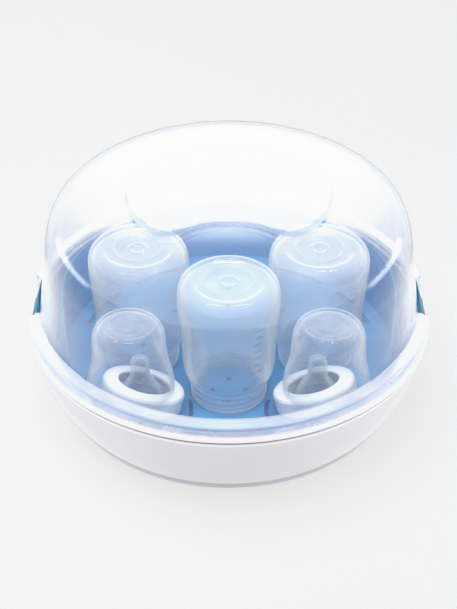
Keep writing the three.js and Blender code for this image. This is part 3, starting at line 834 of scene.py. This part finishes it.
for name, side in (("screw_ring_left", -1), ("screw_ring_right", 1)):
    ob = revolve(name + "_moulding", r_profile, 240, (0.0, 0.0), ring_shape, 40)
    u = np.array([side * RING_AT[0], RING_AT[1]]) / math.hypot(RING_AT[0], RING_AT[1])
    for v in ob.data.vertices:
        p = np.array(v.co)
        along = p[0] * u[0] + p[1] * u[1]
        across = -p[0] * u[1] + p[1] * u[0]
        a2 = along * math.cos(RING_TILT) - p[2] * math.sin(RING_TILT)
        z2 = along * math.sin(RING_TILT) + p[2] * math.cos(RING_TILT)
        v.co = (a2 * u[0] - across * u[1] + side * RING_AT[0] * MM, a2 * u[1] + across * u[0] + RING_AT[1] * MM, z2 + RING_AT[2] * MM)
    finish_mesh(ob.data, 40)
    keep(ob, "ring_left" if side < 0 else "ring_right", name, WHITE_RING)

# ------------------------------------------------------------------ teats
t_out = rounded([(14.6, 0.0), (20.0, 0.0, 0.5), (20.0, 1.8, 0.6), (16.6, 2.2, 0.8), (15.9, 4.2, 1.0)], 3) + flow(
    [(15.8, 5.0), (15.65, 8), (15.0, 12.5), (13.6, 17.5), (11.2, 22.3), (8.6, 26.2), (7.1, 29.4), (6.5, 33.0), (6.5, 37.2), (6.2, 40.8), (5.0, 43.7), (2.9, 45.3), (1.2, 45.55), (0.45, 45.4), (0.4, 44.7)], 5)
t_in = [(0.4, 44.1)] + flow([(0.9, 43.85), (2.6, 43.4), (4.2, 41.7), (5.0, 38.5), (5.1, 34.8), (5.3, 31.6), (6.6, 27.0), (9.6, 22.0), (12.2, 17), (13.6, 12.5), (14.2, 8), (14.3, 4), (14.4, 0.8)], 5)
t_profile = [(r, z + TEAT_Z) for r, z in t_in + t_out]


def teat_shape(r, z, a, i):
    h = z - TEAT_Z
    w = smoothstep(h, 6, 11) * (1 - smoothstep(h, 20, 25))
    if i >= len(t_in) and w > 0:  # soft petals round the breast of the teat
        return r - 0.35 * w * (0.5 + 0.5 * math.cos(9 * a)) , z
    return r, z


for name, side in (("teat_left", -1), ("teat_right", 1)):
    ob = revolve(name + "_moulding", t_profile, 108, (side * TEAT_AT[0], TEAT_AT[1]), teat_shape, 45)
    keep(ob, "ring_left" if side < 0 else "ring_right", name, TEAT)

# ------------------------------------------------------------------ stage, lights, camera
def floor_material():
    """White paper on a light table: even for the eye; for reflections it ends a little way out and is flagged off in front."""
    m = Mat("floor_paper")
    lp = m.node("ShaderNodeLightPath")
    d = m.node("ShaderNodeBsdfDiffuse")
    m.link(m.mixed(m.ranged(m.noise(3.0, 2.0), 0, 1), (0.555, 0.55, 0.54), (0.545, 0.54, 0.53)), d.inputs["Color"])
    xyz = m.node("ShaderNodeSeparateXYZ")
    m.link(m.coord.outputs["Object"], xyz.inputs[0])
    front = m.ranged(xyz.outputs["Y"], 0.12, 1.0, -0.40, -0.08)
    dy = m.math("ADD", xyz.outputs["Y"], 0.11)
    dist = m.math("SQRT", m.math("ADD", m.math("MULTIPLY", xyz.outputs["X"], xyz.outputs["X"]), m.math("MULTIPLY", dy, dy)))
    table = m.ranged(dist, 1.0, 0.35, 0.305, 0.335)
    seen = m.math("MULTIPLY", m.math("MULTIPLY", front, table), 1.0)
    e1 = m.node("ShaderNodeEmission")
    e1.inputs["Strength"].default_value = 0.46
    e2 = m.node("ShaderNodeEmission")
    e2.inputs["Color"].default_value = (0.97, 0.97, 1.0, 1)
    m.link(seen, e2.inputs["Strength"])
    add = m.node("ShaderNodeAddShader")
    m.link(d.outputs[0], add.inputs[0])
    m.link(e1.outputs[0], add.inputs[1])
    return m.end(m.mix_shader(lp.outputs["Is Glossy Ray"], add.outputs[0], e2.outputs[0]))


bm = bmesh.new()
bmesh.ops.create_grid(bm, x_segments=8, y_segments=8, size=4.0)
me = bpy.data.meshes.new("floor")
bm.to_mesh(me)
bm.free()
floor = bpy.data.objects.new("studio_floor", me)
floor.location = (0, 0, -0.0003)
scene.collection.objects.link(floor)
me.materials.append(floor_material())

world = bpy.data.worlds.new("studio")
scene.world = world
world.use_nodes = True
wt = world.node_tree
wt.nodes.clear()
w_out = wt.nodes.new("ShaderNodeOutputWorld")
w_lp = wt.nodes.new("ShaderNodeLightPath")
w_dif = wt.nodes.new("ShaderNodeBackground")
w_dif.inputs["Color"].default_value = (0.94, 0.96, 1.0, 1)
w_dif.inputs["Strength"].default_value = 0.62
w_glo = wt.nodes.new("ShaderNodeBackground")
w_glo.inputs["Color"].default_value = (0.95, 0.96, 1.0, 1)
w_glo.inputs["Strength"].default_value = 0.85
w_cam = wt.nodes.new("ShaderNodeBackground")
w_cam.inputs["Color"].default_value = (1, 1, 1, 1)
w_cam.inputs["Strength"].default_value = 0.92
w_m1 = wt.nodes.new("ShaderNodeMixShader")
w_m2 = wt.nodes.new("ShaderNodeMixShader")
wt.links.new(w_lp.outputs["Is Glossy Ray"], w_m1.inputs[0])
wt.links.new(w_dif.outputs[0], w_m1.inputs[1])
wt.links.new(w_glo.outputs[0], w_m1.inputs[2])
wt.links.new(w_lp.outputs["Is Camera Ray"], w_m2.inputs[0])
wt.links.new(w_m1.outputs[0], w_m2.inputs[1])
wt.links.new(w_cam.outputs[0], w_m2.inputs[2])
wt.links.new(w_m2.outputs[0], w_out.inputs["Surface"])


def area(name, loc, target, size, power, colour=(1, 1, 1), diffuse=True, glossy=True, size_y=None, spread=180, only=None, fade=None):
    data = bpy.data.lights.new(name, "AREA")
    data.shape = "RECTANGLE" if size_y else "SQUARE"
    data.size = size
    if size_y:
        data.size_y = size_y
    data.energy = power
    data.color = colour
    data.spread = math.radians(spread)
    ob = bpy.data.objects.new(name, data)
    scene.collection.objects.link(ob)
    ob.location = loc
    d = np.array(target, float) - np.array(loc, float)
    ob.rotation_euler = Vector(d).to_track_quat("-Z", "Y").to_euler()
    ob.visible_diffuse = diffuse
    ob.visible_glossy = glossy
    ob.visible_camera = False
    if only:
        col = bpy.data.collections.new(name + "_lights")
        for o in only:
            col.objects.link(o)
        ob.light_linking.receiver_collection = col
    if fade:  # brightness falls off softly towards the sheet's edges
        data.use_nodes = True
        nt = data.node_tree
        em = next(n for n in nt.nodes if n.type == "EMISSION")
        geo = nt.nodes.new("ShaderNodeNewGeometry")
        sep = nt.nodes.new("ShaderNodeSeparateXYZ")
        nt.links.new(geo.outputs["Parametric"], sep.inputs[0])
        last = None
        for axis, lo0, lo1, hi1, hi0 in fade:
            up = nt.nodes.new("ShaderNodeMapRange")
            up.interpolation_type = "SMOOTHSTEP"
            up.inputs["From Min"].default_value, up.inputs["From Max"].default_value = lo0, lo1
            dn = nt.nodes.new("ShaderNodeMapRange")
            dn.interpolation_type = "SMOOTHSTEP"
            dn.inputs["From Min"].default_value, dn.inputs["From Max"].default_value = hi1, hi0
            dn.inputs["To Min"].default_value, dn.inputs["To Max"].default_value = 1.0, 0.0
            nt.links.new(sep.outputs[axis], up.inputs["Value"])
            nt.links.new(sep.outputs[axis], dn.inputs["Value"])
            mul = nt.nodes.new("ShaderNodeMath")
            mul.operation = "MULTIPLY"
            nt.links.new(up.outputs[0], mul.inputs[0])
            nt.links.new(dn.outputs[0], mul.inputs[1])
            if last:
                m2 = nt.nodes.new("ShaderNodeMath")
                m2.operation = "MULTIPLY"
                nt.links.new(last.outputs[0], m2.inputs[0])
                nt.links.new(mul.outputs[0], m2.inputs[1])
                mul = m2
            last = mul
        nt.links.new(last.outputs[0], em.inputs["Strength"])
    return ob


area("key_top", (-0.30, -0.05, 1.6), (0, 0, 0.05), 1.5, 7.0, glossy=False)
inside = [o for o in scene.objects if o.type == "MESH" and o.name.startswith(("rack_m", "bottle_", "cap_", "screw_", "teat_", "lid_s", "left_clip_m", "right_clip_m"))]
area("inner_fill", (0.0, -0.25, 1.5), (0, -0.02, 0.05), 1.4, 39.0, (0.97, 0.98, 1.0), glossy=False, only=inside)
area("side_left", (-1.3, -0.35, 0.5), (0, 0, 0.03), 0.9, 5.0, glossy=False, only=[base])
area("rim_light", (0.0, -1.1, 1.25), (0, -0.14, 0.06), 0.9, 3.2, glossy=False, only=[base])
area("side_right", (1.3, -0.35, 0.5), (0, 0, 0.03), 0.9, 5.5, glossy=False, only=[base])
for sx in (-1, 1):
    area("strip_%s" % ("left" if sx < 0 else "right"), (sx * 1.15, 0.30, 0.10), (0, 0.05, 0.12), 1.0, 8.0, diffuse=False, size_y=0.36, only=[lid], fade=[("X", 0.0, 0.2, 0.8, 1.0), ("Y", 0.0, 0.5, 0.5, 1.0)])
    area("edge_%s" % ("left" if sx < 0 else "right"), (sx * 1.3, -0.1, 0.45), (0, 0, 0.10), 0.9, 20.0, glossy=False, only=[lid])
# sheet behind the object that only the lid mirrors: its soft upper edge gives the white wash over the dome
elev = math.radians(27)
dist = 2.2
area("back_sheet", (0, dist * math.cos(elev), dist * math.sin(elev) + 0.15), (0, 0, 0.15), 3.4, 230.0, (1.0, 0.998, 0.99), diffuse=False, size_y=2.6, only=[lid],
     fade=[("X", 0.02, 0.38, 0.62, 0.98), ("Y", 0.0, 0.32, 0.65, 0.97)])
# narrow softbox overhead: crisp highlights along the rims of the bottles, caps, rings and teats
load = [o for o in inside if o.name.startswith(("bottle_", "cap_", "screw_", "teat_")) and not o.name.endswith("_marks")]
area("rim_glint", (0.0, 0.25, 1.5), (0, -0.02, 0.08), 1.2, 7.0, diffuse=False, size_y=0.07, only=load)

cam_data = bpy.data.cameras.new("camera")
cam = bpy.data.objects.new("camera", cam_data)
scene.collection.objects.link(cam)
scene.camera = cam
PITCH, DIST = math.radians(36.73), 1.0
cam.location = (0, -DIST * math.cos(PITCH), DIST * math.sin(PITCH) + 0.060)
cam.rotation_euler = (PI / 2 - PITCH, 0, 0)
cam_data.sensor_fit = "AUTO"
cam_data.sensor_width = 36.0
cam_data.lens = 1423.0 * 36.0 / 609.0
cam_data.shift_y = 4.5 / 609.0
cam_data.shift_x = -0.3 / 609.0
cam_data.clip_start = 0.01
cam_data.clip_end = 50

scene.view_settings.view_transform = "Standard"
scene.view_settings.look = "None"
# soft shoulder: whites above the paper roll off instead of clipping
tone = scene.view_settings
tone.use_curve_mapping = True
tone.curve_mapping.clip_max_x = 6.0
tone.curve_mapping.clip_max_y = 1.0
for k in range(3):
    pts = tone.curve_mapping.curves[k].points
    pts[0].location = (0.0, 0.0)
    pts[len(pts) - 1].location = (6.0, 0.99)
    for xy in ((0.92, 0.92), (1.15, 0.945), (1.7, 0.968), (2.6, 0.98)):
        pts.new(*xy)
    for q in pts:
        q.handle_type = "VECTOR"
tone.curve_mapping.update()
scene.cycles.max_bounces = 24
scene.cycles.diffuse_bounces = 4
scene.cycles.glossy_bounces = 6
scene.cycles.transmission_bounces = 12
scene.cycles.transparent_max_bounces = 48
scene.cycles.use_denoising = True
scene.cycles.sample_clamp_indirect = 8.0
